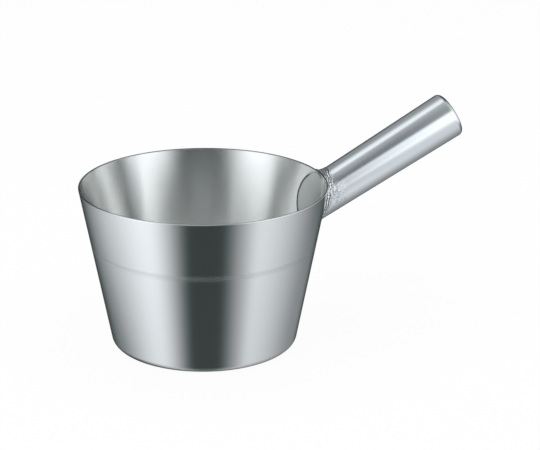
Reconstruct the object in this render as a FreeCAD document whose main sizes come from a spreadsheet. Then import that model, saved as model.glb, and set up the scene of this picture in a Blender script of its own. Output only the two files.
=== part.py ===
import FreeCAD, Part
import os

import Sketcher

# A stainless dipping ladle: a tapered cup and a short hollow handle that widens towards its closed
# free end, each drawn from one sheet. The origin is the centre of the cup's underside, +Z is up, and
# the handle rises towards +X in the XZ plane. Lengths are in millimetres and angles in degrees.

SIZES = (
    # The cup
    ("rim_diameter", 180.0, "outside diameter of the mouth"),
    ("base_cone_diameter", 134.0, "diameter that the wall's cone has at the underside"),
    ("cup_height", 119.0, "underside to rim"),
    ("base_corner_radius", 6.0, "outside radius between wall and bottom"),
    ("base_corner_flat", 3.0, "inside, the leg of the flat between wall and bottom"),
    ("sheet_thickness", 1.2, "wall and bottom"),
    # The faint ring that the second draw leaves round the outside of the wall
    ("ring_height", 75.0, "middle of the ring above the underside"),
    ("ring_width", 4.0, "from edge to edge, measured upright"),
    ("ring_depth", 0.2, "deepest, in the middle of the ring"),
    # The handle
    ("handle_rise", 27.4, "angle of the handle's axis above level"),
    ("handle_root_height", 98.5, "where the axis meets the outside of the wall"),
    ("handle_root_diameter", 30.7, "outside, where the axis meets the wall"),
    ("handle_end_diameter", 34.7, "outside, at the free end before its corner is rounded"),
    ("handle_length", 121.0, "wall to the closed face of the free end, along the axis"),
    ("handle_corner_radius", 3.5, "that the two bevels round the closed face follow"),
    ("handle_corner_flat", 1.5, "inside, the leg of the flat round the closed face"),
    ("handle_thickness", 1.2, "sheet of the handle"),
    ("handle_overlap", 30.0, "length of the blank inside the cup before the saddle is cut"),
    # The round plate that backs the wall inside the cup, behind the handle
    ("plate_diameter", 44.6, "measured on the wall"),
    ("plate_height", 96.0, "middle of the plate above the underside"),
    ("plate_thickness", 1.0, "sheet of the plate"),
    ("plate_reach", 20.0, "length of the round cutter on each side of the wall"),
    # The weld round the root of the handle
    ("weld_leg", 3.6, "reach of the bead along the wall and along the tube"),
    ("weld_flat", 3.0, "leg of the flat that makes the bead's sloping face"),
)

# Two bevels that follow a radius of 1: reach of the first on the side and on the face, and then
# reach of the second, which takes the edge between the first one and the face
BEVEL_ON_SIDE = "(1 - tan(15deg))"
BEVEL_ON_FACE = f"{BEVEL_ON_SIDE} * tan(30deg)"
SECOND_BEVEL = f"{BEVEL_ON_SIDE} * (1 - tan(30deg))"

# Formulas that several objects share, written in the cells' names
LEAN = "atan((Sizes.rim_diameter - Sizes.base_cone_diameter) / (2 * Sizes.cup_height))"
HANDLE_GROWTH = "((Sizes.handle_end_diameter - Sizes.handle_root_diameter) / (2 * Sizes.handle_length))"
BLANK_START = "(-Sizes.handle_overlap)"
BLANK_LENGTH = "(Sizes.handle_length + Sizes.handle_overlap)"

# Where a sketch or a placement starts before its sizes are bound
FIRST_RADIUS, FIRST_TOP_RADIUS, FIRST_HEIGHT = 60.0, 80.0, 100.0
FIRST_TILT = 80.0
LEVEL_TOLERANCE = 1e-4


def wall_radius(height):
    """Outside radius of the cup's wall at a height, as a formula."""
    taper = "(Sizes.rim_diameter - Sizes.base_cone_diameter) / Sizes.cup_height"
    return f"((Sizes.base_cone_diameter + {taper} * {height}) / 2)"


def handle_radius(distance):
    """Outside radius of the handle at a distance from the wall along its axis, as a formula."""
    return f"(Sizes.handle_root_diameter / 2 + {HANDLE_GROWTH} * {distance})"


def make_sheet(doc):
    """Write the driving sizes into a spreadsheet, one row each, with an alias on the number."""
    sheet = doc.addObject("Spreadsheet::Sheet", "Sizes")
    for row, (alias, value, meaning) in enumerate(SIZES, start=1):
        sheet.set(f"A{row}", alias)
        sheet.set(f"B{row}", str(value))
        sheet.set(f"C{row}", meaning)
        sheet.setAlias(f"B{row}", alias)
    doc.recompute()
    return sheet


def bind(thing, **formulas):
    """Bind properties to formulas. A double underscore in a name stands for a dot."""
    for name, formula in formulas.items():
        thing.setExpression(name.replace("__", "."), formula)


def origin_plane(body, role):
    """The body's own origin plane that has this role."""
    return next(plane for plane in body.Origin.OriginFeatures if plane.Role == role)


def new_body(doc, name):
    """An empty body labelled with its own name."""
    body = doc.addObject("PartDesign::Body", name)
    body.Label = name
    return body


def new_sketch(body, name):
    """A sketch on the body's XZ plane: across is X, up is Z."""
    sketch = body.newObject("Sketcher::SketchObject", name)
    sketch.AttachmentSupport = [(origin_plane(body, "XZ_Plane"), "")]
    sketch.MapMode = "FlatFace"
    return sketch


def draw_ring(sketch, edges):
    """Add the edges and join each one's end to the next one's start."""
    first = sketch.GeometryCount
    for edge in edges:
        sketch.addGeometry(edge, False)
    for step in range(len(edges)):
        here = first + step
        after = first + (step + 1) % len(edges)
        sketch.addConstraint(Sketcher.Constraint("Coincident", here, 2, after, 1))


def size_constraint(sketch, kind, where, value, name, formula):
    """Add a size to the sketch, name it and bind it to a formula."""
    index = sketch.addConstraint(Sketcher.Constraint(kind, *where, value))
    sketch.renameConstraint(index, name)
    sketch.setExpression(f"Constraints.{name}", formula)


def point(across, up):
    """A sketch point."""
    return FreeCAD.Vector(across, up, 0)


def line(start, end):
    """A sketch line."""
    return Part.LineSegment(point(*start), point(*end))


def revolve(doc, body, sketch, name):
    """Turn a half section right round the sketch's upright axis."""
    turned = body.newObject("PartDesign::Revolution", name)
    turned.Profile = sketch
    turned.ReferenceAxis = (sketch, ["V_Axis"])
    turned.Angle = 360
    doc.recompute()
    return turned


def dress_edges(doc, body, kind, name, chosen, **sizes):
    """Round (a Fillet) or bevel (a Chamfer) the edges of the body that a test picks out."""
    before = body.Tip
    names = [f"Edge{i}" for i, edge in enumerate(before.Shape.Edges, start=1) if chosen(edge)]
    dressed = body.newObject(f"PartDesign::{kind}", name)
    dressed.Base = (before, names)
    bind(dressed, **sizes)
    doc.recompute()
    return dressed


def hollow_out(doc, body, name, open_height, formula):
    """Leave a sheet of even thickness inside the form, open where its level face was."""
    before = body.Tip
    names = [f"Face{i}" for i, face in enumerate(before.Shape.Faces, start=1)
             if isinstance(face.Surface, Part.Plane) and is_near(face.CenterOfMass.z, open_height)]
    hollow = body.newObject("PartDesign::Thickness", name)
    hollow.Base = (before, names)
    hollow.Reversed = True
    bind(hollow, Value=formula)
    doc.recompute()
    return hollow


def is_near(length, wanted):
    """Whether two heights are the same."""
    return abs(length - wanted) < LEVEL_TOLERANCE


def is_level_circle(edge, height):
    """Whether an edge is a full circle in the level plane at this height."""
    box = edge.BoundBox
    level = is_near(box.ZMin, height) and is_near(box.ZMax, height)
    return level and isinstance(edge.Curve, Part.Circle)


def make_dish(doc, name, low_radius, high_radius, height, thickness, flat, closed_low):
    """A body of even sheet: a cone frustum that stands on the XY plane, open at one end.

    All sizes are formulas, and flat is the leg of the bevel inside, round the closed end. closed_low
    says which end is the closed one.
    """
    body = new_body(doc, name)
    section = new_sketch(body, f"{name}_section")
    draw_ring(section, [line((0, 0), (FIRST_RADIUS, 0)),
                        line((FIRST_RADIUS, 0), (FIRST_TOP_RADIUS, FIRST_HEIGHT)),
                        line((FIRST_TOP_RADIUS, FIRST_HEIGHT), (0, FIRST_HEIGHT)),
                        line((0, FIRST_HEIGHT), (0, 0))])
    section.addConstraint(Sketcher.Constraint("Coincident", 0, 1, -1, 1))
    section.addConstraint(Sketcher.Constraint("Horizontal", 0))
    section.addConstraint(Sketcher.Constraint("Horizontal", 2))
    section.addConstraint(Sketcher.Constraint("Vertical", 3))
    size_constraint(section, "DistanceX", (0, 1, 0, 2), FIRST_RADIUS, "low_radius", low_radius)
    size_constraint(section, "DistanceX", (2, 2, 2, 1), FIRST_TOP_RADIUS, "high_radius", high_radius)
    size_constraint(section, "DistanceY", (3, 2, 3, 1), FIRST_HEIGHT, "height", height)
    revolve(doc, body, section, f"{name}_form")

    top = body.Tip.Shape.BoundBox.ZMax
    closed, opening = (0, top) if closed_low else (top, 0)
    sheet = hollow_out(doc, body, f"{name}_sheet", opening, thickness)
    inside = closed + sheet.Value.Value * (1 if closed_low else -1)
    dress_edges(doc, body, "Chamfer", f"{name}_inside_corner",
                lambda edge: is_level_circle(edge, inside), Size=flat)
    return body


def make_cup(doc):
    """The cup: a dish closed at the bottom, with the faint ring of the second draw."""
    body = make_dish(doc, "cup", "Sizes.base_cone_diameter / 2", "Sizes.rim_diameter / 2",
                     "Sizes.cup_height", "Sizes.sheet_thickness", "Sizes.base_corner_flat", True)
    dress_edges(doc, body, "Fillet", "base_corner", lambda edge: is_level_circle(edge, 0),
                Radius="Sizes.base_corner_radius")
    make_draw_ring(doc, body)
    return body


def make_draw_ring(doc, body):
    """The ring: a shallow V round the outside of the wall, cut by a triangle of twice its size."""
    plain = body.Tip.Shape.Volume
    section = new_sketch(body, "ring_section")
    low, middle, high = (FIRST_RADIUS, 0), (0, FIRST_RADIUS), (FIRST_TOP_RADIUS, FIRST_HEIGHT)
    draw_ring(section, [line(low, middle), line(middle, high), line(high, low)])
    corners = (("low", "Sizes.ring_height - Sizes.ring_width", "+ Sizes.ring_depth"),
               ("middle", "Sizes.ring_height", "- Sizes.ring_depth"),
               ("high", "Sizes.ring_height + Sizes.ring_width", "+ Sizes.ring_depth"))
    for index, (name, height, off_wall) in enumerate(corners):
        start = section.getPoint(index, 1)
        size_constraint(section, "DistanceX", (-1, 1, index, 1), start.x, f"{name}_across",
                        f"{wall_radius(f'({height})')} {off_wall}")
        size_constraint(section, "DistanceY", (-1, 1, index, 1), start.y, f"{name}_up", height)
    ring = body.newObject("PartDesign::Groove", "draw_ring")
    ring.Profile = section
    ring.ReferenceAxis = (section, ["V_Axis"])
    ring.Angle = 360
    doc.recompute()
    if not ring.Shape.Volume < plain:
        raise RuntimeError("the ring cut nothing from the wall")


def cone(doc, name, low_radius, high_radius, length):
    """A cone frustum whose sizes are formulas."""
    frustum = doc.addObject("Part::Cone", name)
    bind(frustum, Radius1=low_radius, Radius2=high_radius, Height=length)
    return frustum


def combine(doc, kind, name, base, tool):
    """A cut, common or fuse of two objects."""
    result = doc.addObject(f"Part::{kind}", name)
    result.Base = base
    result.Tool = tool
    doc.recompute()
    return result


def tilted():
    """A placement turned about the Y axis, whose angle can then be bound."""
    return FreeCAD.Placement(FreeCAD.Vector(), FreeCAD.Rotation(FreeCAD.Vector(0, 1, 0), FIRST_TILT))


def place_on_handle(thing, distance):
    """Stand a thing on the handle's axis, its own Z along it, at a distance from the wall."""
    thing.Placement = tilted()
    across = f"{wall_radius('Sizes.handle_root_height')} + {distance} * cos(Sizes.handle_rise)"
    up = f"Sizes.handle_root_height + {distance} * sin(Sizes.handle_rise)"
    bind(thing, Placement__Base__x=across, Placement__Base__z=up,
         Placement__Rotation__Angle="90 - Sizes.handle_rise")


def bevel_end(doc, blank):
    """Take the corner round the closed face down by two bevels."""
    face = blank.Tip.Shape.BoundBox.ZMax
    first = dress_edges(doc, blank, "Chamfer", "end_bevel", lambda edge: is_level_circle(edge, face),
                        Size=f"Sizes.handle_corner_radius * {BEVEL_ON_SIDE}",
                        Size2=f"Sizes.handle_corner_radius * {BEVEL_ON_FACE}")
    first.ChamferType = "Two distances"
    doc.recompute()
    dress_edges(doc, blank, "Chamfer", "end_second_bevel", lambda edge: is_level_circle(edge, face),
                Size=f"Sizes.handle_corner_radius * {SECOND_BEVEL}")


def make_handle(doc, envelope):
    """The handle: a tapered dish closed at its free end, whose root is cut to the wall's saddle."""
    blank = make_dish(doc, "handle_blank", handle_radius(BLANK_START), handle_radius("Sizes.handle_length"),
                      BLANK_LENGTH, "Sizes.handle_thickness", "Sizes.handle_corner_flat", False)
    bevel_end(doc, blank)
    place_on_handle(blank, BLANK_START)
    return combine(doc, "Cut", "handle", blank, envelope)


def make_backing_plate(doc):
    """The backing plate: a disc rolled to the inside of the wall, cut from a cone by a round cutter."""
    inset = f"Sizes.sheet_thickness / cos({LEAN})"
    depth = f"{inset} + Sizes.plate_thickness / cos({LEAN})"
    base = "Sizes.base_cone_diameter / 2"
    rim = "Sizes.rim_diameter / 2"
    seat = cone(doc, "plate_back", f"{base} - {inset}", f"{rim} - {inset}", "Sizes.cup_height")
    face = cone(doc, "plate_face", f"{base} - ({depth})", f"{rim} - ({depth})", "Sizes.cup_height")
    shell = combine(doc, "Cut", "plate_sheet", seat, face)

    cutter = doc.addObject("Part::Cylinder", "plate_cutter")
    cutter.Placement = tilted()
    bind(cutter, Radius="Sizes.plate_diameter / 2", Height="2 * Sizes.plate_reach",
         Placement__Base__x=f"{wall_radius('Sizes.plate_height')} - Sizes.plate_reach * cos({LEAN})",
         Placement__Base__z=f"Sizes.plate_height + Sizes.plate_reach * sin({LEAN})",
         Placement__Rotation__Angle=f"90deg + {LEAN}")
    return combine(doc, "Common", "backing_plate", shell, cutter)


def make_root_weld(doc, sheet, envelope):
    """The weld: a collar on the saddle where the handle meets the wall, outside both.

    The collar is what a thicker wall and a thicker handle have in common. Their crossing edge is
    bevelled to the bead's sloping face, and the true wall and handle are then taken out of it.
    """
    wall_leg = f"Sizes.weld_leg / cos({LEAN})"
    thick_wall = cone(doc, "weld_on_wall", f"Sizes.base_cone_diameter / 2 + {wall_leg}",
                      f"Sizes.rim_diameter / 2 + {wall_leg}", "Sizes.cup_height")
    root, end = handle_radius(BLANK_START), handle_radius("Sizes.handle_length")
    thick_handle = cone(doc, "weld_on_handle", f"{root} + Sizes.weld_leg", f"{end} + Sizes.weld_leg",
                        BLANK_LENGTH)
    handle_form = cone(doc, "weld_handle_form", root, end, BLANK_LENGTH)
    place_on_handle(thick_handle, BLANK_START)
    place_on_handle(handle_form, BLANK_START)
    collar = combine(doc, "Common", "weld_collar", thick_wall, thick_handle)

    crossing = [i for i, edge in enumerate(collar.Shape.Edges, start=1)
                if isinstance(edge.Curve, Part.BSplineCurve)]
    bead = doc.addObject("Part::Chamfer", "weld_bead")
    bead.Base = collar
    bead.Edges = [(i, sheet.weld_flat, sheet.weld_flat) for i in crossing]
    doc.recompute()
    outside_wall = combine(doc, "Cut", "weld_outside_wall", bead, envelope)
    return combine(doc, "Cut", "root_weld", outside_wall, handle_form)


def check(doc):
    """Stop if any object failed to compute, or holds a null or invalid shape."""
    for thing in doc.Objects:
        if {"Invalid", "Error"} & set(thing.State):
            raise RuntimeError(f"{thing.Name} failed: {thing.State}")
        shape = getattr(thing, "Shape", None)
        if shape is not None and thing.isDerivedFrom("Part::Feature"):
            if shape.isNull() or not shape.isValid():
                raise RuntimeError(f"{thing.Name} has no valid shape")


def main():
    """Build the ladle's four pieces and write each one to its own file."""
    doc = FreeCAD.newDocument("ladle")
    sheet = make_sheet(doc)

    envelope = cone(doc, "wall_envelope", "Sizes.base_cone_diameter / 2", "Sizes.rim_diameter / 2",
                    "Sizes.cup_height")
    doc.recompute()
    cup = make_cup(doc)
    handle = make_handle(doc, envelope)
    plate = make_backing_plate(doc)
    weld = make_root_weld(doc, sheet, envelope)
    doc.recompute()
    check(doc)

    os.makedirs("parts", exist_ok=True)
    for piece in (cup, handle, plate, weld):
        piece.Shape.exportStep(f"parts/{piece.Label}.step")
        centre = piece.Shape.Solids[0].CenterOfMass
        print(f"{piece.Label}: {len(piece.Shape.Solids)} solid, {piece.Shape.Volume:.0f} mm3, "
              f"centre {centre.x:.1f} {centre.y:.1f} {centre.z:.1f}")


main()
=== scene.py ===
"""The looks of a stainless dipping ladle, built around its CAD frame.

Lengths are in metres. The cup's axis is Z, its underside is at height 0, and the handle rises
towards +X in the XZ plane.
"""

import logging
from dataclasses import dataclass, field
from enum import Enum
from math import atan, cos, hypot, pi, radians, sin, tau

import bmesh
import bpy
from mathutils import Matrix, Vector


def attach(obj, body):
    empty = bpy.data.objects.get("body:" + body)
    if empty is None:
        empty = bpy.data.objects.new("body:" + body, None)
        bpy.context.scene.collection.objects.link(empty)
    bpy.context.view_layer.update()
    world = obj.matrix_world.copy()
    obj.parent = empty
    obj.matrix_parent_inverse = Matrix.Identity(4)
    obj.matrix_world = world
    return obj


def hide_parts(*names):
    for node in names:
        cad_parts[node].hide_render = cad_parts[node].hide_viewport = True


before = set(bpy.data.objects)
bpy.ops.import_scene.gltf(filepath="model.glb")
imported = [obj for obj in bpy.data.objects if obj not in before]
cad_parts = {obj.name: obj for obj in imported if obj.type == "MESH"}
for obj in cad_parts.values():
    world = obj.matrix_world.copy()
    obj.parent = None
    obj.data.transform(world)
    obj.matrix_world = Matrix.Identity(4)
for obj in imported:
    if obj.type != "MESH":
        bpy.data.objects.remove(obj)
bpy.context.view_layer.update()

BODY = "root"
MM = 0.001
FINE_AROUND = 40.0  # polish lines per metre round a piece, which makes them long
HOLD = 0.3 * MM  # distance of an extra point beside a bend, which keeps the shading straight

log = logging.getLogger("ladle")


class Slot(Enum):
    """The record's material slots."""

    CUP = "cup_steel"
    HANDLE = "handle_steel"
    PLATE = "plate_steel"
    WELD = "weld_steel"


def arc(centre: tuple[float, float], radius: float, start: float, end: float,
        steps: int) -> list[tuple[float, float]]:
    """Points along a circular arc in a half section.

    Args:
        centre: radius and height of the arc's centre.
        radius: the arc's radius.
        start: angle of the first point, in radians.
        end: angle of the last point, in radians.
        steps: number of chords.

    Returns:
        The points, as radius and height.
    """
    angles = [start + (end - start) * i / steps for i in range(steps + 1)]
    return [(centre[0] + radius * cos(a), centre[1] + radius * sin(a)) for a in angles]


def run(start: tuple[float, float], end: tuple[float, float],
        rows: int) -> list[tuple[float, float]]:
    """Points between two points of a half section, which are left out themselves.

    Args:
        start: the point before the run.
        end: the point after the run.
        rows: number of even steps.

    Returns:
        The points in order.
    """
    across, up = end[0] - start[0], end[1] - start[1]
    beside = HOLD / hypot(across, up)
    shares = [beside] + [i / rows for i in range(1, rows)] + [1 - beside]
    return [(start[0] + across * s, start[1] + up * s) for s in shares]


def skin(name: str, rings: list[list[Vector]], closed: bool = False) -> bpy.types.Object:
    """Join rings of points into one smooth skin. Its UV map runs round the rings and across them.

    Args:
        name: the new object's name.
        rings: rings with the same number of points, or of a single point where the skin ends.
        closed: whether the last ring joins the first one.

    Returns:
        The new object, linked to the scene.
    """
    mesh = bmesh.new()
    uv = mesh.loops.layers.uv.new("round")
    made = [[mesh.verts.new(p) for p in ring] for ring in rings]
    pairs = list(zip(made, made[1:])) + ([(made[-1], made[0])] if closed else [])
    for row, (low, high) in enumerate(pairs):
        count = max(len(low), len(high))
        for i in range(count):
            j = (i + 1) % count
            corners = {low[i % len(low)]: (i, row), low[j % len(low)]: (i + 1, row),
                       high[j % len(high)]: (i + 1, row + 1), high[i % len(high)]: (i, row + 1)}
            face = mesh.faces.new(list(corners))
            for loop in face.loops:
                column, level = corners[loop.vert]
                loop[uv].uv = (column / count, level / len(pairs))
    bmesh.ops.recalc_face_normals(mesh, faces=mesh.faces)
    data = bpy.data.meshes.new(name)
    mesh.to_mesh(data)
    mesh.free()
    data.polygons.foreach_set("use_smooth", [True] * len(data.polygons))
    thing = bpy.data.objects.new(name, data)
    bpy.context.scene.collection.objects.link(thing)
    return thing


def lathe(section: list[tuple[float, float]], columns: int) -> list[list[Vector]]:
    """Turn a half section round the Z axis.

    Args:
        section: points as radius and height.
        columns: number of points round the axis.

    Returns:
        One ring for each point, and a single point where the radius is 0.
    """
    rings = []
    for radius, height in section:
        count = columns if radius > 0 else 1
        angles = [tau * i / columns for i in range(count)]
        rings.append([Vector((radius * cos(a), radius * sin(a), height)) for a in angles])
    return rings


@dataclass(frozen=True)
class SteelFinish:
    """A polished or worked sheet-steel surface.

    Attributes:
        name: the material's name.
        colour: the metal's own colour.
        roughness: middle roughness.
        roughness_spread: how far the fine polish lines move the roughness.
        stretch: how far the polish draws highlights out along the axis, from 0 to 1.
        line_density: polish lines per metre along the axis.
        line_depth: depth of the polish lines in metres.
        cloud_size: size of the soft patches in metres.
        cloud_depth: height of the soft patches in metres.
        radial: whether the polish runs round the object's Z axis.
    """

    name: str
    colour: tuple[float, float, float] = (0.9, 0.9, 0.9)
    roughness: float = 0.2
    roughness_spread: float = 0.04
    stretch: float = 0.88
    line_density: float = 2600.0
    line_depth: float = 0.4e-6
    cloud_size: float = 0.03
    cloud_depth: float = 4e-6
    radial: bool = True

    def start(self, axes: Matrix) -> "Shading":
        """Lay the finish out. The piece may still change it before it closes the shading.

        Args:
            axes: the piece's own axes, whose Z axis the polish lines run round.

        Returns:
            The open shading.
        """
        shading = Shading(self.name, axes)
        shading.colour = self.colour
        shading.set("Metallic", 1.0)
        lines = shading.noise(FINE_AROUND, self.line_density, detail=3.0)
        shading.roughness = shading.spread(lines, self.roughness, self.roughness_spread)
        if self.radial:
            shading.set("Anisotropic", self.stretch)
            shading.set("Anisotropic Rotation", 0.25)
            tangent = shading.add("ShaderNodeTangent")
            tangent.direction_type = "UV_MAP"
            tangent.uv_map = "round"
            shading.link(tangent.outputs["Tangent"], "Tangent")
        clouds = shading.noise(1 / self.cloud_size, 1 / self.cloud_size, detail=2.0)
        shading.heights = [(clouds, self.cloud_depth), (lines, self.line_depth)]
        return shading


class Nodes:
    """Nodes of one tree, and the sums that they make."""

    def __init__(self, tree: bpy.types.NodeTree) -> None:
        """Take a tree.

        Args:
            tree: the node tree to build in.
        """
        self.tree = tree

    def add(self, kind: str, **settings: object) -> bpy.types.Node:
        """Add a node of this kind and set its properties."""
        node = self.tree.nodes.new(kind)
        for name, value in settings.items():
            setattr(node, name, value)
        return node

    def join(self, value: object, target: bpy.types.NodeSocket) -> None:
        """Lead an output to a socket, or set the socket to a number or colour."""
        if isinstance(value, bpy.types.NodeSocket):
            self.tree.links.new(value, target)
        else:
            target.default_value = value

    def math(self, operation: str, *values: object) -> bpy.types.NodeSocket:
        """A sum on sockets and numbers.

        Args:
            operation: the Math node's operation.
            values: sockets or numbers, in order.

        Returns:
            The result's socket.
        """
        node = self.add("ShaderNodeMath", operation=operation)
        for target, value in zip(node.inputs, values):
            self.join(value, target)
        return node.outputs["Value"]

    def rise(self, value: bpy.types.NodeSocket, start: float, end: float) -> bpy.types.NodeSocket:
        """A smooth step that is 0 up to start and 1 from end."""
        node = self.add("ShaderNodeMapRange", interpolation_type="SMOOTHSTEP")
        self.join(value, node.inputs["Value"])
        self.join(start, node.inputs["From Min"])
        self.join(end, node.inputs["From Max"])
        return node.outputs["Result"]

    def less(self, value: bpy.types.NodeSocket) -> bpy.types.NodeSocket:
        """One less the value, which turns a mask round."""
        return self.math("SUBTRACT", 1.0, value)

    def window(self, value: bpy.types.NodeSocket, rising: tuple[float, float],
               falling: tuple[float, float]) -> bpy.types.NodeSocket:
        """Between the two soft edges 1, and outside them 0."""
        after = self.less(self.rise(value, *falling))
        return self.math("MULTIPLY", self.rise(value, *rising), after)

    def blend(self, share: object, first: object, second: object) -> bpy.types.NodeSocket:
        """Mix two colours.

        Args:
            share: how much of the second colour shows.
            first: the first colour or its socket.
            second: the second colour or its socket.

        Returns:
            The mixed colour's socket.
        """
        node = self.add("ShaderNodeMix", data_type="RGBA")
        self.join(share, node.inputs["Factor"])
        for name, value in (("A", first), ("B", second)):
            target = next(i for i in node.inputs if i.name == name and i.type == "RGBA")
            self.join((*value, 1.0) if isinstance(value, tuple) else value, target)
        return next(o for o in node.outputs if o.type == "RGBA")


class Shading(Nodes):
    """A node material around one Principled shader, in a piece's own axes."""

    def __init__(self, name: str, axes: Matrix) -> None:
        """Start an empty material.

        Args:
            name: the material's name.
            axes: turns and moves the piece's own axes to the ladle's.
        """
        self.material = bpy.data.materials.new(name)
        self.material.use_nodes = True
        super().__init__(self.material.node_tree)
        self.shader = self.tree.nodes["Principled BSDF"]
        self.colour: object = (0.8, 0.8, 0.8)
        self.roughness: object = 0.5
        self.heights: list[tuple[bpy.types.NodeSocket, float]] = []
        back = axes.inverted()
        own = self.add("ShaderNodeMapping")
        self.join(back.to_translation(), own.inputs["Location"])
        self.join(back.to_euler(), own.inputs["Rotation"])
        self.join(self.add("ShaderNodeTexCoord").outputs["Object"], own.inputs["Vector"])
        self.place = own.outputs["Vector"]
        split = self.add("ShaderNodeSeparateXYZ")
        self.join(self.place, split.inputs["Vector"])
        self.x, self.y, self.z = split.outputs

    def set(self, socket: str, value: object) -> None:
        """Set a constant on the shader."""
        self.shader.inputs[socket].default_value = value

    def link(self, output: bpy.types.NodeSocket, socket: str) -> None:
        """Lead an output to one of the shader's sockets."""
        self.tree.links.new(output, self.shader.inputs[socket])

    def noise(self, across: float, along: float, detail: float) -> bpy.types.NodeSocket:
        """A noise whose grain differs along the piece's axis.

        Args:
            across: grains per metre across the axis.
            along: grains per metre along it.
            detail: octaves of finer grain.

        Returns:
            The noise's value, around one half.
        """
        mapping = self.add("ShaderNodeMapping")
        self.join((across, across, along), mapping.inputs["Scale"])
        self.join(self.place, mapping.inputs["Vector"])
        noise = self.add("ShaderNodeTexNoise")
        self.join(1.0, noise.inputs["Scale"])
        self.join(detail, noise.inputs["Detail"])
        self.join(mapping.outputs["Vector"], noise.inputs["Vector"])
        return noise.outputs["Fac"]

    def reach(self) -> bpy.types.NodeSocket:
        """Distance from the piece's own Z axis."""
        squares = [self.math("POWER", side, 2.0) for side in (self.x, self.y)]
        return self.math("SQRT", self.math("ADD", *squares))

    def spread(self, value: bpy.types.NodeSocket, middle: float,
               reach: float) -> bpy.types.NodeSocket:
        """Move a noise of 0 to 1 to middle - reach to middle + reach."""
        return self.math("MULTIPLY_ADD", value, 2 * reach, middle - reach)

    def roughen(self, where: bpy.types.NodeSocket, extra: float) -> None:
        """Add to the roughness where a mask is 1."""
        self.roughness = self.math("MULTIPLY_ADD", where, extra, self.roughness)

    def stain(self, where: bpy.types.NodeSocket, colour: tuple[float, float, float]) -> None:
        """Change the colour where a mask is 1."""
        self.colour = self.blend(where, self.colour, colour)

    def close(self) -> bpy.types.Material:
        """Join colour, roughness and heights to the shader.

        Returns:
            The finished material.
        """
        if isinstance(self.colour, tuple):
            self.set("Base Color", (*self.colour, 1.0))
        else:
            self.link(self.colour, "Base Color")
        self.link(self.roughness, "Roughness")
        normal = None
        for height, depth in self.heights:
            bump = self.add("ShaderNodeBump")
            self.join(1.0, bump.inputs["Strength"])
            self.join(depth, bump.inputs["Distance"])
            self.join(height, bump.inputs["Height"])
            if normal is not None:
                self.join(normal, bump.inputs["Normal"])
            normal = bump.outputs["Normal"]
        self.link(normal, "Normal")
        return self.material


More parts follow.
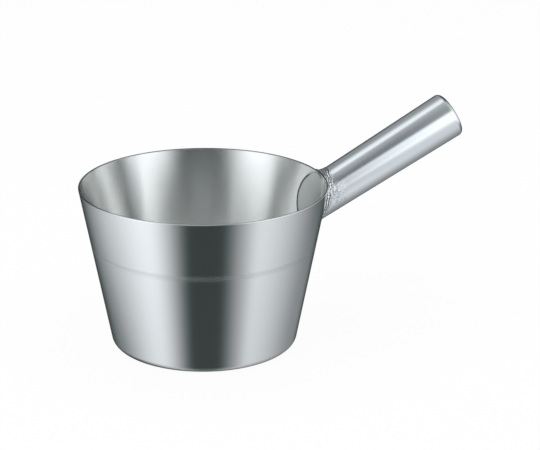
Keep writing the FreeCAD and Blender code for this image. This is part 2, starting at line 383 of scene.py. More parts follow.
@dataclass
class Cup:
    """The tapered cup, drawn from one sheet.

    Attributes:
        rim_radius: outside radius at the lip.
        base_radius: outside radius of the wall, carried on down to height 0.
        height: height of the lip.
        sheet: thickness of the sheet.
        corner: outside rounding between base and wall.
        lip_outer: rounding of the lip's outer edge.
        lip_inner: rounding of the lip's inner edge.
        ring_height: middle height of the faint ring of the second draw.
        ring_width: the ring's width.
        ring_depth: how far the ring is sunk.
        ring_soft: how far the ring's finish fades to each side of its edges.
        ring_dullness: roughness that the ring adds.
        ring_haze: how much less metallic the ring is.
        ring_colour: the ring's colour.
        inner_reflection_tint: warm tint painted on the inside, for the warmer light that it
            reflects.
        inner_split: shares of the sheet, from outside, where the inside's painted tint ends and
            starts.
        lip_shade_line_rise: where the painted shade line on the lip fades in, from the wall's
            inside outwards.
        lip_shade_line_fall: where that line fades out.
        lip_shade_line_drop: how far under the lip that line starts and is full.
        lip_shade_line_colour: the painted shade line's colour.
        lip_fade: height over which the lip's dullness fades in.
        lip_dullness: roughness that the lip adds.
        columns: points round the cup.
        round_steps: chords of the bottom corner.
        lip_outer_steps: chords of the lip's outer rounding.
        lip_inner_steps: chords of the lip's inner rounding.
        ring_steps: rows of the ring.
        flat_rows: rows across the base and across the floor.
        inner_rows: rows up the inside.
        low_rows: rows up the outside under the ring.
        high_rows: rows up the outside over the ring.
        finish: the polish.
    """

    rim_radius: float = 90 * MM
    base_radius: float = 67 * MM
    height: float = 119 * MM
    sheet: float = 1.2 * MM
    corner: float = 6 * MM
    lip_outer: float = 0.65 * MM
    lip_inner: float = 0.25 * MM
    ring_height: float = 76.7 * MM
    ring_width: float = 4 * MM
    ring_depth: float = 0.04 * MM
    ring_soft: float = 1.3 * MM
    ring_dullness: float = 0.06
    ring_haze: float = 0.06
    ring_colour: tuple[float, float, float] = (0.8, 0.81, 0.81)
    inner_reflection_tint: tuple[float, float, float] = (0.902, 0.9, 0.888)
    inner_split: tuple[float, float] = (0.9, 0.3)
    lip_shade_line_rise: tuple[float, float] = (-0.25 * MM, -0.05 * MM)
    lip_shade_line_fall: tuple[float, float] = (0.45 * MM, 0.6 * MM)
    lip_shade_line_drop: tuple[float, float] = (0.5 * MM, 0.25 * MM)
    lip_shade_line_colour: tuple[float, float, float] = (0.1, 0.105, 0.11)
    lip_fade: float = 0.3 * MM
    lip_dullness: float = 0.15
    columns: int = 288
    round_steps: int = 10
    lip_outer_steps: int = 8
    lip_inner_steps: int = 5
    ring_steps: int = 16
    flat_rows: int = 8
    inner_rows: int = 16
    low_rows: int = 10
    high_rows: int = 8
    finish: SteelFinish = field(default_factory=lambda: SteelFinish("polished_cup"))

    @property
    def lean(self) -> float:
        """Angle of the wall from upright."""
        return atan((self.rim_radius - self.base_radius) / self.height)

    def outside(self, height: float) -> float:
        """Outside radius of the wall at a height."""
        return self.base_radius + (self.rim_radius - self.base_radius) * height / self.height

    def inside(self, height: float) -> float:
        """Inside radius of the wall at a height."""
        return self.outside(height) - self.sheet / cos(self.lean)

    def ring_edges(self) -> tuple[float, float]:
        """Lowest and highest height of the ring."""
        half = self.ring_width / 2
        return self.ring_height - half, self.ring_height + half

    def outer_wall(self, low: float, high: float) -> list[tuple[float, float]]:
        """Points up the outside of the wall, with the shallow ring of the second draw.

        Args:
            low: height of the point before the first one.
            high: height of the point after the last one.

        Returns:
            Points as radius and height.
        """
        bottom, top = self.ring_edges()
        ring = []
        for i in range(1, self.ring_steps):
            height = bottom + (top - bottom) * i / self.ring_steps
            sunk = self.ring_depth * sin(pi * i / self.ring_steps) ** 2
            ring.append((self.outside(height) - sunk, height))
        ends = [(self.outside(height), height) for height in (low, bottom, top, high)]
        below = run(ends[0], ends[1], self.low_rows)
        above = run(ends[2], ends[3], self.high_rows)
        return [*below, ends[1], *ring, ends[2], *above]

    def section(self) -> list[tuple[float, float]]:
        """The half section: up the outside, over the lip and down the inside.

        Returns:
            Points as radius and height, from one pole to the other.
        """
        lean, corner, outside, inside = self.lean, self.corner, self.lip_outer, self.lip_inner
        low = (self.base_radius - corner * (1 - sin(lean)) / cos(lean), corner)
        outer = arc(low, corner, -pi / 2, -lean, self.round_steps)
        inner = arc(low, corner - self.sheet, -lean, -pi / 2, self.round_steps)
        top, inner_top = self.height - outside, self.height - inside
        lip_out = arc((self.outside(top) - outside / cos(lean), top), outside,
                      -lean, pi / 2, self.lip_outer_steps)
        lip_in = arc((self.inside(inner_top) + inside / cos(lean), inner_top), inside,
                     pi / 2, pi - lean, self.lip_inner_steps)
        inner_wall = run(lip_in[-1], inner[0], self.inner_rows)
        base = run((0, 0), outer[0], self.flat_rows)
        floor = run(inner[-1], (0, self.sheet), self.flat_rows)
        return [(0, 0), *base, *outer, *self.outer_wall(outer[-1][1], lip_out[0][1]), *lip_out,
                *lip_in, *inner_wall, *inner, *floor, (0, self.sheet)]

    def shade(self) -> bpy.types.Material:
        """The cup's polish: painted warm reflection inside, hazy at the ring, and dull at the lip.

        A painted shade line runs dark along the lip's inner edge.

        Returns:
            The material.
        """
        shading = self.finish.start(Matrix.Identity(4))
        reach = shading.reach()
        taper = (self.rim_radius - self.base_radius) / self.height
        upright = shading.math("SUBTRACT", reach, shading.math("MULTIPLY", shading.z, taper))
        split = [self.base_radius - share * self.sheet for share in self.inner_split]
        outside = shading.rise(upright, *split)
        # Painted reflection: the inside is tinted warm for the warmer light that it reflects from
        # the back.
        shading.stain(shading.less(outside), self.inner_reflection_tint)
        self.shade_ring(shading, outside)
        inner = self.inside(self.height)
        # Painted shade: a thin dark line is painted along the lip's inner edge.
        lip_shade_line = shading.window(reach, tuple(inner + off for off in self.lip_shade_line_rise),
                                tuple(inner + off for off in self.lip_shade_line_fall))
        high = shading.rise(shading.z, *(self.height - drop for drop in self.lip_shade_line_drop))
        shading.stain(shading.math("MULTIPLY", lip_shade_line, high), self.lip_shade_line_colour)
        edge = self.height - self.lip_outer
        shading.roughen(shading.rise(shading.z, edge - self.lip_fade, edge), self.lip_dullness)
        return shading.close()

    def shade_ring(self, shading: Shading, outside: bpy.types.NodeSocket) -> None:
        """Make the ring round the outside duller and hazy.

        Args:
            shading: the cup's open shading.
            outside: a mask that is 1 on the outside.
        """
        bottom, top = self.ring_edges()
        soft = self.ring_soft
        band = shading.window(shading.z, (bottom - soft, bottom + soft), (top - soft, top + soft))
        ring = shading.math("MULTIPLY", band, outside)
        shading.roughen(ring, self.ring_dullness)
        shading.stain(ring, self.ring_colour)
        haze = shading.math("MULTIPLY", ring, self.ring_haze)
        shading.link(shading.less(haze), "Metallic")

    def build(self) -> bpy.types.Object:
        """Make and dress the cup.

        Returns:
            The finished piece.
        """
        shell = skin("cup_shell", lathe(self.section(), self.columns))
        shell.data.materials.append(self.shade())
        return settle(shell, "cup")


@dataclass
class Handle:
    """The hollow handle, which widens towards its closed end.

    Attributes:
        cup: the cup that it stands on.
        rise: its slope.
        root_height: height at which its axis meets the outside of the wall.
        root_radius: outside radius at the root.
        end_radius: outside radius at the closed end.
        length: length of its axis.
        corner: rounding of the closed end.
        columns: points round the handle.
        rows: rings along it.
        corner_steps: chords of the end's rounding.
        face_rows: rows across the closed end.
        search: how far from the root the saddle is looked for, each way.
        halvings: how often that stretch is halved.
        mottle_start: distance from the root at which the mottling starts to fade.
        mottle_reach: distance from the root at which it is gone.
        mottle_size: size of its patches.
        mottle_length: their length along the handle, as the inverse of a share.
        mottle_depth: their height.
        mottle_facing: sideways and downward direction that the mottled side faces.
        mottle_side: shares of the root's radius between which that side starts.
        mottle_grain: noise values between which a patch starts.
        mottle_colour: the patches' colour.
        finish: the polish.
    """

    cup: Cup
    rise: float = radians(27.4)
    root_height: float = 98.5 * MM
    root_radius: float = 15.35 * MM
    end_radius: float = 17.35 * MM
    length: float = 121 * MM
    corner: float = 3.5 * MM
    columns: int = 192
    rows: int = 48
    corner_steps: int = 12
    face_rows: int = 5
    search: float = 30 * MM
    halvings: int = 40
    mottle_start: float = 12 * MM
    mottle_reach: float = 24 * MM
    mottle_size: float = 1.4 * MM
    mottle_length: float = 0.7
    mottle_depth: float = 0.4 * MM
    mottle_facing: tuple[float, float] = (-0.9, -0.45)
    mottle_side: tuple[float, float] = (0.3, 0.9)
    mottle_grain: tuple[float, float] = (0.5, 0.64)
    mottle_colour: tuple[float, float, float] = (0.6, 0.63, 0.66)
    finish: SteelFinish = field(default_factory=lambda: SteelFinish(
        "polished_handle", colour=(0.88, 0.9, 0.92), roughness=0.21, stretch=0.8,
        cloud_size=0.012, cloud_depth=6e-6))

    @property
    def matrix(self) -> Matrix:
        """Turns the handle's own axes, with Z along it and Y sideways, to the ladle's."""
        along = Vector((cos(self.rise), 0, sin(self.rise)))
        side = Vector((0, 1, 0))
        down = side.cross(along)
        root = Vector((self.cup.outside(self.root_height), 0, self.root_height))
        turned = Matrix((down, side, along)).transposed().to_4x4()
        return Matrix.Translation(root) @ turned

    def radius(self, distance: float) -> float:
        """Outside radius at a distance from the root."""
        return self.root_radius + (self.end_radius - self.root_radius) * distance / self.length

    def point(self, angle: float, distance: float) -> Vector:
        """A point on the handle's outside in its own axes."""
        radius = self.radius(distance)
        return Vector((radius * cos(angle), radius * sin(angle), distance))

    def off_wall(self, angle: float, distance: float) -> float:
        """How far a point on the handle's outside lies off the cup's wall, measured level."""
        place = self.matrix @ self.point(angle, distance)
        return hypot(place.x, place.y) - self.cup.outside(place.z)

    def saddle(self, angle: float) -> float:
        """Where the handle's outside meets the cup's wall.

        Args:
            angle: angle round the handle.

        Returns:
            The distance along the handle.
        """
        low, high = -self.search, self.search
        for _ in range(self.halvings):
            middle = (low + high) / 2
            if self.off_wall(angle, middle) < 0:
                low = middle
            else:
                high = middle
        return (low + high) / 2

    def rings(self) -> list[list[Vector]]:
        """The handle's skin from the saddle to the middle of its closed end.

        Returns:
            Rings in the handle's own axes.
        """
        angles = [tau * i / self.columns for i in range(self.columns)]
        starts = [self.saddle(a) for a in angles]
        last = self.length - self.corner
        shares = [i / self.rows for i in range(self.rows)] + [1 - HOLD / self.length]
        rings = [[self.point(a, s + (last - s) * share) for a, s in zip(angles, starts)]
                 for share in shares]
        growth = atan((self.end_radius - self.root_radius) / self.length)
        centre = (self.radius(last) - self.corner, last)
        edge = arc(centre, self.corner, -growth, pi / 2, self.corner_steps)
        face = run(edge[-1], (0, self.length), self.face_rows)
        return rings + lathe([*edge, *face, (0, self.length)], self.columns)

    def shade(self) -> bpy.types.Material:
        """The handle's polish, mottled by heat near the weld.

        Returns:
            The material.
        """
        shading = self.finish.start(self.matrix)
        sideways, down = self.mottle_facing
        facing = shading.math("MULTIPLY", shading.x, down)
        facing = shading.math("MULTIPLY_ADD", shading.y, sideways, facing)
        side = shading.rise(facing, *(share * self.root_radius for share in self.mottle_side))
        near = shading.less(shading.rise(shading.z, self.mottle_start, self.mottle_reach))
        near = shading.math("MULTIPLY", near, side)
        fine = 1 / self.mottle_size
        grain = shading.noise(fine, self.mottle_length / self.mottle_size, detail=3.0)
        shading.heights.append((shading.math("MULTIPLY", grain, near), self.mottle_depth))
        patches = shading.math("MULTIPLY", shading.rise(grain, *self.mottle_grain), near)
        shading.stain(patches, self.mottle_colour)
        return shading.close()

    def build(self) -> bpy.types.Object:
        """Make and dress the handle.

        Returns:
            The finished piece.
        """
        turn = self.matrix
        tube = skin("handle_shell", [[turn @ point for point in ring] for ring in self.rings()])
        tube.data.materials.append(self.shade())
        return settle(tube, "handle")


@dataclass
class BackingPlate:
    """The round plate on the inside of the wall, behind the handle.

    Attributes:
        cup: the cup that it lies in.
        height: height of its middle.
        radius: its radius.
        thickness: thickness of its sheet.
        edge_round: rounding of its edge.
        columns: points round the plate.
        edge_steps: chords of that rounding.
        back_rows: rings on its back.
        face_rows: rings on its face.
        settling: how often a point is moved nearer to its depth off the wall.
        seam_shade_width: width of the painted shade in the seam.
        seam_shade_start: widths of that shade from the edge between which it starts.
        seam_shade_side: shares of the radius, sideways, between which it starts.
        seam_shade_colour: the painted shade's colour.
        finish: the sheet's finish.
    """

    cup: Cup
    height: float = 96 * MM
    radius: float = 22.3 * MM
    thickness: float = 1.0 * MM
    edge_round: float = 0.35 * MM
    columns: int = 160
    edge_steps: int = 5
    back_rows: int = 6
    face_rows: int = 10
    settling: int = 8
    seam_shade_width: float = 1.6 * MM
    seam_shade_start: tuple[float, float] = (1.5, 0.8)
    seam_shade_side: tuple[float, float] = (0.35, 0.65)
    seam_shade_colour: tuple[float, float, float] = (0.12, 0.13, 0.13)
    finish: SteelFinish = field(default_factory=lambda: SteelFinish(
        "plate_sheet", colour=(0.7, 0.715, 0.71), roughness=0.34, radial=False,
        line_density=900.0, cloud_size=0.01))

    def place(self, angle: float, reach: float, depth: float) -> Vector:
        """A point of the plate.

        Args:
            angle: angle round the plate's middle.
            reach: distance from its middle.
            depth: distance off the cup's inside wall.

        Returns:
            The point in the ladle's axes.
        """
        lean = self.cup.lean
        normal = Vector((cos(lean), 0, -sin(lean)))
        upward = Vector((sin(lean), 0, cos(lean)))
        middle = Vector((self.cup.outside(self.height), 0, self.height))
        flat = middle + upward * (reach * cos(angle)) + Vector((0, 1, 0)) * (reach * sin(angle))
        sunk = 0.0
        for _ in range(self.settling):
            here = flat - normal * sunk
            wanted = self.cup.inside(here.z) - depth / cos(lean)
            sunk += (hypot(here.x, here.y) - wanted) * cos(lean)
        return flat - normal * sunk

    @property
    def matrix(self) -> Matrix:
        """Turns the plate's own axes, with Z off the wall, to the ladle's."""
        lean = self.cup.lean
        off_wall = Vector((-cos(lean), 0, sin(lean)))
        upward = Vector((sin(lean), 0, cos(lean)))
        turned = Matrix((upward, off_wall.cross(upward), off_wall)).transposed().to_4x4()
        return Matrix.Translation(self.place(0, 0, 0)) @ turned

    def shade(self) -> bpy.types.Material:
        """The plate's duller sheet, with painted shade in the seam along its far edge.

        Returns:
            The material.
        """
        shading = self.finish.start(self.matrix)
        # Painted shade: the gap between the plate's far edge and the wall is darkened by colour.
        edges = [self.radius - widths * self.seam_shade_width for widths in self.seam_shade_start]
        seam_shade = shading.rise(shading.reach(), *edges)
        far = shading.rise(shading.y, *(share * self.radius for share in self.seam_shade_side))
        shading.stain(shading.math("MULTIPLY", seam_shade, far), self.seam_shade_colour)
        return shading.close()

    def build(self) -> bpy.types.Object:
        """Make and dress the plate.

        Returns:
            The finished piece.
        """
        soft = self.edge_round
        corner = arc((self.radius - soft, self.thickness - soft), soft, 0, pi / 2, self.edge_steps)
        back = [(self.radius * i / self.back_rows, 0.0) for i in range(1, self.back_rows)]
        edge = [(self.radius, 0.0), (self.radius, 0.3 * self.thickness), *corner]
        inner = [(self.radius * i / self.face_rows, self.thickness)
                 for i in range(self.face_rows - 1, 0, -1)]
        angles = [tau * i / self.columns for i in range(self.columns)]
        rings = [[self.place(0, 0, 0)]]
        rings += [[self.place(a, reach, depth) for a in angles]
                  for reach, depth in back + edge + inner]
        rings.append([self.place(0, 0, self.thickness)])
        disc = skin("plate_disc", rings)
        disc.data.materials.append(self.shade())
        return settle(disc, "backing_plate")


@dataclass
class RootWeld:
    """The rippled weld round the handle's root, laid in narrow runs.

    Attributes:
        handle: the handle that it holds.
        wall_leg: how far it reaches along the cup's wall.
        tube_leg: how far it reaches along the handle.
        toe_wander: how far its edge on the handle wanders.
        toe_waves: waves of that wander round the handle.
        rim_gap: how far it stays under the cup's lip.
        runs: number of runs from the wall to the handle.
        swell: height of each run.
        crown: how full a run is, less being fuller.
        ripple_pitch: distance from ripple to ripple.
        ripple_height: the ripples' height.
        ripple_bend: how far the ripples bend back towards the weld's edges, in pitches.
        lump_height: height of the lumps.
        lump_waves: waves of the lumps round the handle and across the weld, for two sets.
        sink: how far its edges lie in the wall and the handle.
        rows: rows from the wall to the handle.
        columns: points round the handle.
        valley_shade: run heights between which the painted shade between the runs ends.
        spot_size: size of the burnt spots.
        spot_grain: noise values between which a spot starts.
        burnt_spot_and_shade_colour: burnt spots' colour, also the painted shade between the runs.
        finish: the weld metal.
    """

    handle: Handle
    wall_leg: float = 3.4 * MM
    tube_leg: float = 7.3 * MM
    toe_wander: float = 0.7 * MM
    toe_waves: tuple[int, int] = (13, 5)
    rim_gap: float = 0.15 * MM
    runs: int = 4
    swell: float = 0.45 * MM
    crown: float = 0.7
    ripple_pitch: float = 1.9 * MM
    ripple_height: float = 0.06 * MM
    ripple_bend: float = 2.2
    lump_height: float = 0.12 * MM
    lump_waves: tuple[int, int, int, int] = (23, 5, 9, 4)
    sink: float = 0.15 * MM
    rows: int = 40
    columns: int = 540
    valley_shade: tuple[float, float] = (0.15, 0.65)
    spot_size: float = 1.5 * MM
    spot_grain: tuple[float, float] = (0.55, 0.64)
    burnt_spot_and_shade_colour: tuple[float, float, float] = (0.2, 0.21, 0.22)
    finish: SteelFinish = field(default_factory=lambda: SteelFinish(
        "weld_metal", colour=(0.93, 0.94, 0.95), roughness=0.18, radial=False,
        line_density=700.0, cloud_size=0.0015, cloud_depth=5e-5))

    def station(self, angle: float) -> tuple[Vector, Vector, Vector]:
        """The weld's corner and its two directions at an angle round the handle.

        Args:
            angle: angle round the handle.

        Returns:
            The corner, the direction along the wall and the direction along the handle.
        """
        handle = self.handle
        turn = handle.matrix
        here = turn @ handle.point(angle, handle.saddle(angle))
        ahead = turn @ handle.point(angle + 0.01, handle.saddle(angle + 0.01))
        forward = (ahead - here).normalized()
        lean = handle.cup.lean
        level = Vector((here.x, here.y, 0)).normalized()
        off_wall = level * cos(lean) - Vector((0, 0, sin(lean)))
        off_tube = (turn.to_3x3() @ Vector((cos(angle), sin(angle), 0))).normalized()
        on_wall = forward.cross(off_wall).normalized()
        on_tube = forward.cross(off_tube).normalized()
        if on_wall.dot(off_tube) < 0:
            on_wall = -on_wall
        if on_tube.dot(off_wall) < 0:
            on_tube = -on_tube
        return here, on_wall, on_tube

    def on_handle(self, angle: float, on_tube: Vector, reach: float) -> Vector:
        """A point of the handle's outside, up the bead from the corner.

        Args:
            angle: angle round the handle.
            on_tube: direction along the handle's surface.
            reach: distance from the corner.

        Returns:
            The point in the ladle's axes.
        """
        turn = self.handle.matrix
        own = turn.to_3x3().inverted() @ on_tube
        around = own.dot(Vector((-sin(angle), cos(angle), 0))) * reach / self.handle.root_radius
        return turn @ self.handle.point(angle + around, self.handle.saddle(angle) + own.z * reach)

    def section(self, angle: float, along: float) -> list[Vector]:
        """The weld's section at an angle round the handle.

        Args:
            angle: angle round the handle.
            along: distance run along the weld, which sets the ripples.

        Returns:
            Points over the face from the wall to the handle, then back through the corner.
        """
        corner, on_wall, on_tube = self.station(angle)
        room = self.handle.cup.height - self.rim_gap - corner.z
        wall_leg = min(self.wall_leg, room / on_wall.z) if on_wall.z > 0.05 else self.wall_leg
        fast, slow = self.toe_waves
        tube_leg = self.tube_leg + self.toe_wander * sin(fast * angle + 1) * sin(slow * angle)
        fine, out, coarse, back = self.lump_waves
        points = []
        for i in range(self.rows + 1):
            share = i / self.rows
            crescent = self.ripple_pitch * (share - 0.5) ** 2 * self.ripple_bend
            ripple = self.ripple_height * sin(tau * (along + crescent) / self.ripple_pitch)
            lump = (self.lump_height * sin(fine * angle + out * share)
                    * sin(coarse * angle - back * share))
            lobes = self.swell * abs(sin(self.runs * pi * share)) ** self.crown
            fade = sin(pi * share) ** 0.5 if 0 < share < 1 else 0.0
            lift = lobes + (ripple + lump) * fade - self.sink * (1 - fade)
            outward = (on_wall + on_tube * (1 - share)).normalized()
            points.append(self.on_handle(angle, on_tube, tube_leg * share)
                          + on_wall * (wall_leg * (1 - share) ** 2) + outward * lift)
        return points + [corner - (on_wall + on_tube).normalized() * self.sink]

    def shade(self) -> bpy.types.Material:
        """The weld metal, with painted shade between its runs and dark burnt spots.

        Returns:
            The material.
        """
        shading = self.finish.start(self.handle.matrix)
        # Painted shade: the valleys between the runs are darkened; the burnt spots are the metal's
        # own.
        split = shading.add("ShaderNodeSeparateXYZ")
        across = shading.add("ShaderNodeUVMap", uv_map="round").outputs["UV"]
        shading.join(across, split.inputs["Vector"])
        turn = self.runs * pi * (self.rows + 2) / self.rows
        wave = shading.math("SINE", shading.math("MULTIPLY", split.outputs["Y"], turn))
        lobe = shading.math("ABSOLUTE", wave)
        valley_shade = shading.less(shading.rise(lobe, *self.valley_shade))
        grain = shading.noise(1 / self.spot_size, 1 / self.spot_size, detail=2.0)
        spots = shading.rise(grain, *self.spot_grain)
        shading.stain(shading.math("MAXIMUM", valley_shade, spots), self.burnt_spot_and_shade_colour)
        return shading.close()

    def build(self) -> bpy.types.Object:
        """Make and dress the weld.

        Returns:
            The finished piece.
        """
        angles = [tau * i / self.columns for i in range(self.columns)]
        corners = [self.station(a)[0] for a in angles]
        steps = [(b - a).length for a, b in zip(corners, corners[1:] + corners[:1])]
        total = sum(steps)
        pitch_fit = round(total / self.ripple_pitch) * self.ripple_pitch / total
        along, sections = 0.0, []
        for angle, step in zip(angles, steps):
            sections.append(self.section(angle, along * pitch_fit))
            along += step
        rings = [list(ring) for ring in zip(*sections)]
        bead = skin("weld_bead", rings, closed=True)
        bead.data.materials.append(self.shade())
        return settle(bead, "root_weld")


def settle(piece: bpy.types.Object, node: str) -> bpy.types.Object:
    """Let a piece ride on the frame and stand for its CAD node.

    Args:
        piece: the finished piece, in place.
        node: the CAD node that it stands for.

    Returns:
        The piece.
    """
    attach(piece, BODY)
    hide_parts(node)
    return piece


@dataclass
class Camera:
    """The camera, as it stands in front of the ladle.

    Attributes:
        handle_turn: how far the handle points away from the picture's right, towards the back.
        distance: from the cup's axis, level.
        height: above the floor.
        pan: turn to the right of the cup's axis.
        tilt: turn downwards.
        roll: turn round the line of sight.
        lens: focal length.
        film: width of the film that the focal length is for.
        far: how far the camera sees.
    """

    handle_turn: float = radians(18)
    distance: float = 1.37616
    height: float = 0.56643
    pan: float = 0.0348
    tilt: float = 0.3346
    roll: float = 0.0048
    lens: float = 134.2
    film: float = 36.0
    far: float = 50.0

    def build(self) -> bpy.types.Object:
        """Make the camera and set it as the scene's.

        Returns:
            The camera.
        """
        flat = cos(self.tilt)
        look = Vector((sin(self.pan) * flat, cos(self.pan) * flat, -sin(self.tilt)))
        right = Vector((cos(self.pan), -sin(self.pan), 0))
        up = right.cross(look)
        level = Matrix((right, up, -look)).transposed().to_4x4()
        stand = Matrix.Translation((0, -self.distance, self.height))
        camera = bpy.data.objects.new("camera", bpy.data.cameras.new("camera"))
        camera.data.sensor_width = self.film
        camera.data.lens = self.lens
        camera.data.clip_end = self.far
        camera.matrix_world = (Matrix.Rotation(-self.handle_turn, 4, "Z") @ stand @ level
                               @ Matrix.Rotation(self.roll, 4, "Z"))
        bpy.context.scene.collection.objects.link(camera)
        bpy.context.scene.camera = camera
        return camera


@dataclass(frozen=True)
class Panel:
    """A soft pale wall or screen of the studio, as seen from the cup.

    Attributes:
        left: bearings between which it fades in, in degrees from the front, negative to the left.
        right: bearings between which it fades out.
        bottom: elevations in degrees between which it fades in.
        top: elevations between which it fades out.
        level: its brightness, where 1 is plain white.
    """

    left: tuple[float, float]
    right: tuple[float, float]
    bottom: tuple[float, float]
    top: tuple[float, float]
    level: float

    def draw(self, nodes: Nodes, bearing: bpy.types.NodeSocket,
             elevation: bpy.types.NodeSocket) -> bpy.types.NodeSocket:
        """The panel's brightness in every direction.

        Args:
            nodes: the cloth's nodes.
            bearing: the direction's bearing in degrees.
            elevation: the direction's elevation in degrees.

        Returns:
            The brightness.
        """
        middle = (self.left[1] + self.right[0]) / 2
        wrapped = nodes.math("WRAP", bearing, middle + 180, middle - 180)
        across = nodes.window(wrapped, self.left, self.right)
        upright = nodes.window(elevation, self.bottom, self.top)
        return nodes.math("MULTIPLY", nodes.math("MULTIPLY", across, upright), self.level)


@dataclass
class LightTent:
    """A small round tent of pale cloth round the ladle, dark towards the camera and at the back.

    Only mirror-like surfaces see it.

    Attributes:
        front: direction of the tent's dark front from the cup's axis, as an angle from -Y.
        radius: the tent's radius.
        middle: height of its centre.
        tint: colour of its light, a little cool.
        dark_tint: colour of the dark parts.
        dark: brightness of the dark parts.
        lit: brightness at which the cloth has its full light's colour.
        left_screen: the big screen on the left.
        right_screen: the big screen on the right.
        right_wing: a second, higher screen behind it.
        front_bar: the pale bar over the camera.
        front_roof: the greyer cloth above that bar.
        ceiling: the pale ceiling over the left and the back.
        left_skirt: the cloth that hangs low at the back on the left.
        right_skirt: the same on the right.
        table: the pale table under the ladle.
        back_wall: the faint wall behind it.
    """

    front: float = radians(18)
    radius: float = 600 * MM
    middle: float = 60 * MM
    tint: tuple[float, float, float] = (0.946, 1.0, 1.03)
    dark_tint: tuple[float, float, float] = (0.8, 1.0, 0.99)
    dark: float = 0.05
    lit: float = 0.3
    left_screen: Panel = Panel((-120, -56), (-54, -12), (-119, 30), (38, 60), 1.44)
    right_screen: Panel = Panel((15, 52), (48, 132), (-114, 35), (32, 47), 0.93)
    right_wing: Panel = Panel((23, 43), (115, 135), (-4, 10), (83, 129), 0.47)
    front_bar: Panel = Panel((-60, -47), (36, 48), (10, 52), (32, 44), 0.65)
    front_roof: Panel = Panel((-23, 20), (-7, 25), (23, 82), (79, 109), 1.0)
    ceiling: Panel = Panel((-239, -213), (-106, 23), (44, 78), (100, 119), 1.0)
    left_skirt: Panel = Panel((-159, -100), (-113, -61), (-56, -2), (-20, -4), 0.68)
    right_skirt: Panel = Panel((40, 58), (137, 159), (-92, -59), (-28, -10), 0.22)
    table: Panel = Panel((-200, -190), (190, 200), (-120, -100), (-75, -45), 0.1)
    back_wall: Panel = Panel((148, 172), (192, 216), (5, 40), (46, 62), 0.28)

    def direction(self, nodes: Nodes) -> tuple[bpy.types.NodeSocket, bpy.types.NodeSocket]:
        """Where a point of the tent stands as seen from its centre, in degrees.

        Args:
            nodes: the cloth's nodes.

        Returns:
            The bearing from the front, and the elevation.
        """
        turn = nodes.add("ShaderNodeMapping", vector_type="POINT")
        nodes.join((0, 0, self.front), turn.inputs["Rotation"])
        nodes.join(nodes.add("ShaderNodeTexCoord").outputs["Object"], turn.inputs["Vector"])
        unit = nodes.add("ShaderNodeVectorMath", operation="NORMALIZE")
        nodes.join(turn.outputs["Vector"], unit.inputs["Vector"])
        split = nodes.add("ShaderNodeSeparateXYZ")
        nodes.join(unit.outputs["Vector"], split.inputs["Vector"])
        right, back, up = split.outputs
        bearing = nodes.math("ARCTAN2", right, nodes.math("MULTIPLY", back, -1.0))
        return nodes.math("DEGREES", bearing), nodes.math("DEGREES", nodes.math("ARCSINE", up))

    def cloth(self) -> bpy.types.Material:
        """The lit cloth.

        Returns:
            The material.
        """
        cloth = bpy.data.materials.new("tent_cloth")
        cloth.use_nodes = True
        nodes = Nodes(cloth.node_tree)
        nodes.tree.nodes.clear()
        bearing, elevation = self.direction(nodes)
        light: object = self.dark
        for panel in (self.left_screen, self.right_screen, self.right_wing, self.front_bar,
                      self.front_roof, self.ceiling, self.left_skirt, self.right_skirt, self.table,
                      self.back_wall):
            light = nodes.math("ADD", light, panel.draw(nodes, bearing, elevation))
        glow = nodes.add("ShaderNodeEmission")
        share = nodes.rise(light, self.dark, self.lit)
        nodes.join(nodes.blend(share, self.dark_tint, self.tint), glow.inputs["Color"])
        nodes.join(light, glow.inputs["Strength"])
        out = nodes.add("ShaderNodeOutputMaterial")
        nodes.join(glow.outputs["Emission"], out.inputs["Surface"])
        return cloth

    def build(self) -> bpy.types.Object:
        """Make the tent.

        Returns:
            The tent, a part of the stage.
        """
        mesh = bmesh.new()
        bmesh.ops.create_uvsphere(mesh, u_segments=96, v_segments=48, radius=self.radius)
        data = bpy.data.meshes.new("light_tent")
        mesh.to_mesh(data)
        mesh.free()
        data.materials.append(self.cloth())
        tent = bpy.data.objects.new("light_tent", data)
        tent.location.z = self.middle
        tent.visible_camera = False
        tent.visible_diffuse = False
        tent.visible_shadow = False
        bpy.context.scene.collection.objects.link(tent)
        return tent


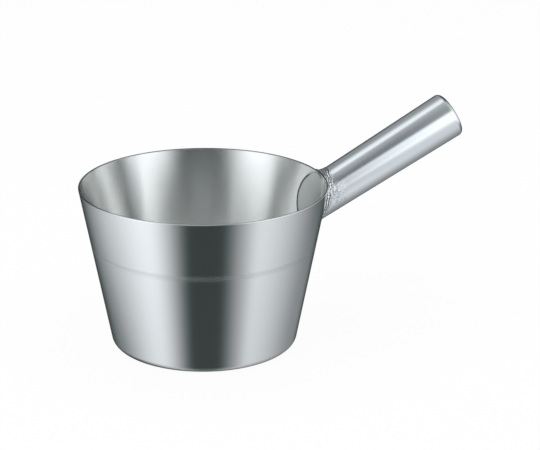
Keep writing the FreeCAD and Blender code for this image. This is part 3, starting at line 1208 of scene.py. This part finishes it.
@dataclass
class Studio:
    """A white studio with a pale floor and plain soft lamps, round the light tent.

    Attributes:
        tent: the light tent.
        plain_level: light that the world gives to matt surfaces.
        floor_size: side of the floor.
        floor_drop: how far the floor lies under the cup, so that the two don't flicker.
        floor_pale: the floor's colour.
        floor_white: share of the plain white that the camera sees of the floor.
        aim: height that the lamps point at.
    """

    tent: LightTent = field(default_factory=LightTent)
    plain_level: float = 0.55
    floor_size: float = 12.0
    floor_drop: float = 0.05 * MM
    floor_pale: float = 0.9
    floor_white: float = 0.94
    aim: float = 60 * MM

    def world(self) -> bpy.types.World:
        """A white background and a plain light on matt surfaces.

        Returns:
            The world.
        """
        world = bpy.data.worlds.new("studio")
        world.use_nodes = True
        bpy.context.scene.world = world
        world.node_tree.nodes.clear()
        nodes = Nodes(world.node_tree)
        path = nodes.add("ShaderNodeLightPath")
        mirror = nodes.math("MAXIMUM", path.outputs["Is Glossy Ray"],
                            path.outputs["Is Transmission Ray"])
        seen = nodes.math("MAXIMUM", path.outputs["Is Camera Ray"], mirror)
        room = nodes.blend(seen, (self.plain_level,) * 3, (1.0, 1.0, 1.0))
        glow = nodes.add("ShaderNodeBackground")
        nodes.join(1.0, glow.inputs["Strength"])
        nodes.join(room, glow.inputs["Color"])
        out = nodes.add("ShaderNodeOutputWorld")
        nodes.join(glow.outputs["Background"], out.inputs["Surface"])
        return world

    def floor(self) -> bpy.types.Object:
        """The pale floor, whose own white shows to the camera and which keeps a faint shadow.

        Returns:
            The floor.
        """
        half = self.floor_size / 2
        data = bpy.data.meshes.new("floor")
        corners = [(-half, -half, 0), (half, -half, 0), (half, half, 0), (-half, half, 0)]
        data.from_pydata(corners, [], [(0, 1, 2, 3)])
        floor = bpy.data.objects.new("floor", data)
        bpy.context.scene.collection.objects.link(floor)
        floor.location.z = -self.floor_drop
        floor.visible_glossy = False
        shading = Shading("pale_floor", Matrix.Identity(4))
        shading.set("Base Color", (*(self.floor_pale,) * 3, 1.0))
        shading.set("Roughness", 0.9)
        shading.set("Specular IOR Level", 0.0)
        glow = shading.add("ShaderNodeEmission")
        path = shading.add("ShaderNodeLightPath")
        share = shading.math("MULTIPLY", path.outputs["Is Camera Ray"], self.floor_white)
        blend = shading.add("ShaderNodeMixShader")
        shading.join(share, blend.inputs["Fac"])
        shading.join(shading.shader.outputs["BSDF"], blend.inputs[1])
        shading.join(glow.outputs["Emission"], blend.inputs[2])
        surface = shading.tree.nodes["Material Output"].inputs["Surface"]
        shading.join(blend.outputs["Shader"], surface)
        data.materials.append(shading.material)
        return floor

    def lamp(self, name: str, place: tuple[float, float, float], size: float,
             power: float) -> bpy.types.Object:
        """A soft square lamp that faces the cup.

        Args:
            name: the lamp's name.
            place: where it hangs.
            size: its side.
            power: its power in watts.

        Returns:
            The lamp.
        """
        data = bpy.data.lights.new(name, "AREA")
        data.size = size
        data.energy = power
        lamp = bpy.data.objects.new(name, data)
        lamp.location = place
        aim = Vector((0, 0, self.aim)) - Vector(place)
        lamp.rotation_euler = aim.to_track_quat("-Z", "Y").to_euler()
        lamp.visible_glossy = False
        bpy.context.scene.collection.objects.link(lamp)
        return lamp

    def build(self) -> None:
        """Make the world, the tent, the floor and the lamps."""
        self.world()
        self.tent.build()
        self.floor()
        self.lamp("ceiling_lamp", place=(0.0, 0.0, 2.2), size=2.4, power=26.0)
        self.lamp("left_lamp", place=(-1.6, -0.9, 1.3), size=1.2, power=8.0)


def main() -> None:
    """Build the ladle, piece by piece, and the studio round it."""
    logging.basicConfig(level=logging.INFO, format="%(name)s %(message)s")
    bpy.context.scene.view_settings.view_transform = "Standard"
    cup = Cup()
    handle = Handle(cup)
    for part in (cup, handle, BackingPlate(cup), RootWeld(handle)):
        piece = part.build()
        log.info("%s: %d faces", piece.name, len(piece.data.polygons))
    Studio().build()
    Camera().build()


if __name__ == "__main__":
    main()
